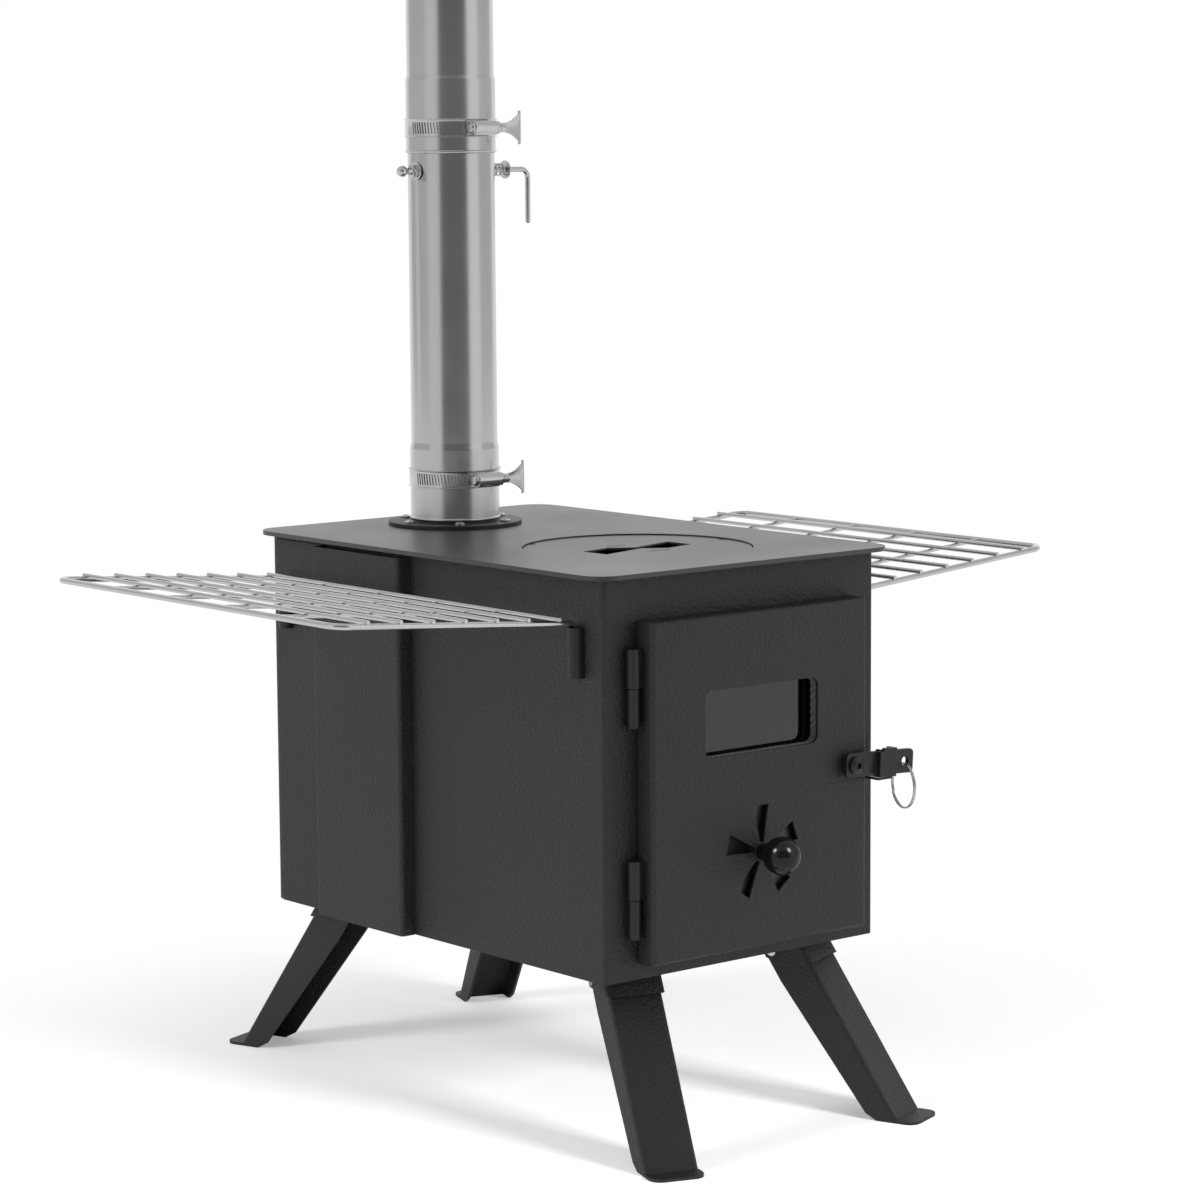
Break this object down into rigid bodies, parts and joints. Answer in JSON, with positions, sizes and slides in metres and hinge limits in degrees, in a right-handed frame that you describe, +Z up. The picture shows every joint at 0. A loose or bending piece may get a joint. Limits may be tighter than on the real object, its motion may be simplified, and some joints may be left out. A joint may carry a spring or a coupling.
{
  "type": "tent wood stove",
  "caption": "Folded-steel tent wood stove with a glazed door, rotary air intake, lift-out cooking lid, lift-off wire shelves, folding legs and a sectional chimney with damper.",
  "frame": {"origin": "on the ground under the middle of the firebox", "axes": "+X to the right, +Y to the back and +Z up; the door faces -Y"},
  "size_m": [0.6088, 0.4906, 1.0856],
  "materials": {
    "body_coat": "matte heat-proof powder coat with a fine leather-like grain",
    "top_coat": "matte heat-proof powder coat, fine grain",
    "dark_coat": "satin black coat",
    "stainless": "bright rolled stainless steel, faint grain round the pipe",
    "bright_steel": "bright plated steel",
    "dark_steel": "dull uncoated steel, heat-darkened",
    "smoked_glass": "dark heat-proof glass",
    "rope": "twisted glass-fibre rope, grey",
    "gloss_knob": "polished black"
  },
  "bodies": {
    "stove": {"firebox_wrap": "body_coat", "back_panel": "body_coat", "floor_plate": "body_coat", "top_plate": "top_coat", "side_casing_left": "body_coat", "side_casing_right": "body_coat", "shelf_sleeves": "dark_coat", "grate_ledges": "dark_steel", "fire_grate": "dark_steel", "hinge_body_knuckles": "dark_coat", "hinge_pins": "bright_steel", "latch_keeper": "dark_coat", "lid_seat": "body_coat", "flue_flange": "dark_coat", "flue_collar": "dark_coat", "flange_screws": "bright_steel", "damper_pipe": "stainless", "chimney_pipe": "stainless", "spark_arrestor": "stainless", "arrestor_ears": "bright_steel", "arrestor_rivets": "dark_steel", "clamp_band_1": "bright_steel", "clamp_band_2": "bright_steel", "clamp_band_3": "bright_steel", "clamp_housing_1": "bright_steel", "clamp_housing_2": "bright_steel", "clamp_housing_3": "bright_steel", "leg_brackets": "body_coat", "leg_pins": "bright_steel"},
    "door": {"door_panel": "body_coat", "window_glass": "smoked_glass", "window_gasket": "rope", "glass_retainer": "dark_steel", "retainer_screws": "bright_steel", "hinge_door_knuckles": "dark_coat", "latch_bolt": "dark_coat", "latch_spacer": "dark_coat"},
    "intake": {"intake_disc": "dark_steel", "intake_spindle": "bright_steel", "intake_nut": "bright_steel", "intake_knob": "gloss_knob"},
    "latch": {"latch_lever": "dark_coat"},
    "pull_ring": {"latch_ring": "bright_steel"},
    "lid": {"cooking_lid": "top_coat"},
    "shelf_left": {"shelf_left": "bright_steel"},
    "shelf_right": {"shelf_right": "bright_steel"},
    "ash_tray": {"ash_tray": "body_coat", "ash_tray_rivets": "bright_steel"},
    "damper": {"damper_plate": "dark_steel", "damper_rod": "bright_steel", "damper_spring": "bright_steel", "damper_washers": "bright_steel", "damper_nut": "bright_steel"},
    "leg_rear_right": {"leg_rear_right": "body_coat"},
    "leg_rear_left": {"leg_rear_left": "body_coat"},
    "leg_front_right": {"leg_front_right": "body_coat"},
    "leg_front_left": {"leg_front_left": "body_coat"},
    "screw_1": {"clamp_screw_1": "bright_steel"},
    "screw_2": {"clamp_screw_2": "bright_steel"},
    "screw_3": {"clamp_screw_3": "bright_steel"}
  },
  "joints": [
    {"name": "door_swing", "type": "hinge", "parent": "stove", "child": "door", "pos_m": [-0.096, -0.185, 0.234], "axis": [0, 0, -1], "range_deg": [0, 130]},
    {"name": "latch_turn", "type": "hinge", "parent": "door", "child": "latch", "pos_m": [0.079, -0.201, 0.23475], "axis": [0, -1, 0], "range_deg": [0, 60]},
    {"name": "ring_swing", "type": "hinge", "parent": "latch", "child": "pull_ring", "pos_m": [0.12394, -0.201, 0.2308], "axis": [-0.2588, -0.9659, 0], "range_deg": [-25, 60]},
    {"name": "intake_turn", "type": "hinge", "parent": "door", "child": "intake", "pos_m": [0.00275, -0.2, 0.1865], "axis": [0, -1, 0], "range_deg": [0, 36]},
    {"name": "lid_lift", "type": "slide", "parent": "stove", "child": "lid", "axis": [0, 0, 1], "range_m": [0, 0.04]},
    {"name": "shelf_lift_left", "type": "slide", "parent": "stove", "child": "shelf_left", "axis": [0, 0, 1], "range_m": [0, 0.025]},
    {"name": "shelf_lift_right", "type": "slide", "parent": "stove", "child": "shelf_right", "axis": [0, 0, 1], "range_m": [0, 0.025]},
    {"name": "ash_tray_slide", "type": "slide", "parent": "stove", "child": "ash_tray", "axis": [0, -1, 0], "range_m": [0, 0.006]},
    {"name": "damper_turn", "type": "hinge", "parent": "stove", "child": "damper", "pos_m": [0, 0.12, 0.619], "axis": [-1, 0, 0], "range_deg": [0, 90]},
    {"name": "leg_fold_rear_right", "type": "hinge", "parent": "stove", "child": "leg_rear_right", "pos_m": [0.0719, 0.1427, 0.106], "axis": [-0.9409, 0.3387, 0], "range_deg": [0, 115]},
    {"name": "leg_fold_rear_left", "type": "hinge", "parent": "stove", "child": "leg_rear_left", "pos_m": [-0.0719, 0.1427, 0.106], "axis": [-0.9409, -0.3387, 0], "range_deg": [0, 115]},
    {"name": "leg_fold_front_right", "type": "hinge", "parent": "stove", "child": "leg_front_right", "pos_m": [0.0719, -0.1427, 0.106], "axis": [0.9409, 0.3387, 0], "range_deg": [0, 115]},
    {"name": "leg_fold_front_left", "type": "hinge", "parent": "stove", "child": "leg_front_left", "pos_m": [-0.0719, -0.1427, 0.106], "axis": [0.9409, -0.3387, 0], "range_deg": [0, 115]},
    {"name": "clamp_turn_1", "type": "hinge", "parent": "stove", "child": "screw_1", "pos_m": [0, 0.08365, 0.407], "axis": [1, 0, 0], "continuous": true},
    {"name": "clamp_turn_2", "type": "hinge", "parent": "stove", "child": "screw_2", "pos_m": [0, 0.08365, 0.6483], "axis": [1, 0, 0], "continuous": true},
    {"name": "clamp_turn_3", "type": "hinge", "parent": "stove", "child": "screw_3", "pos_m": [0, 0.08365, 0.9016], "axis": [1, 0, 0], "continuous": true}
  ]
}
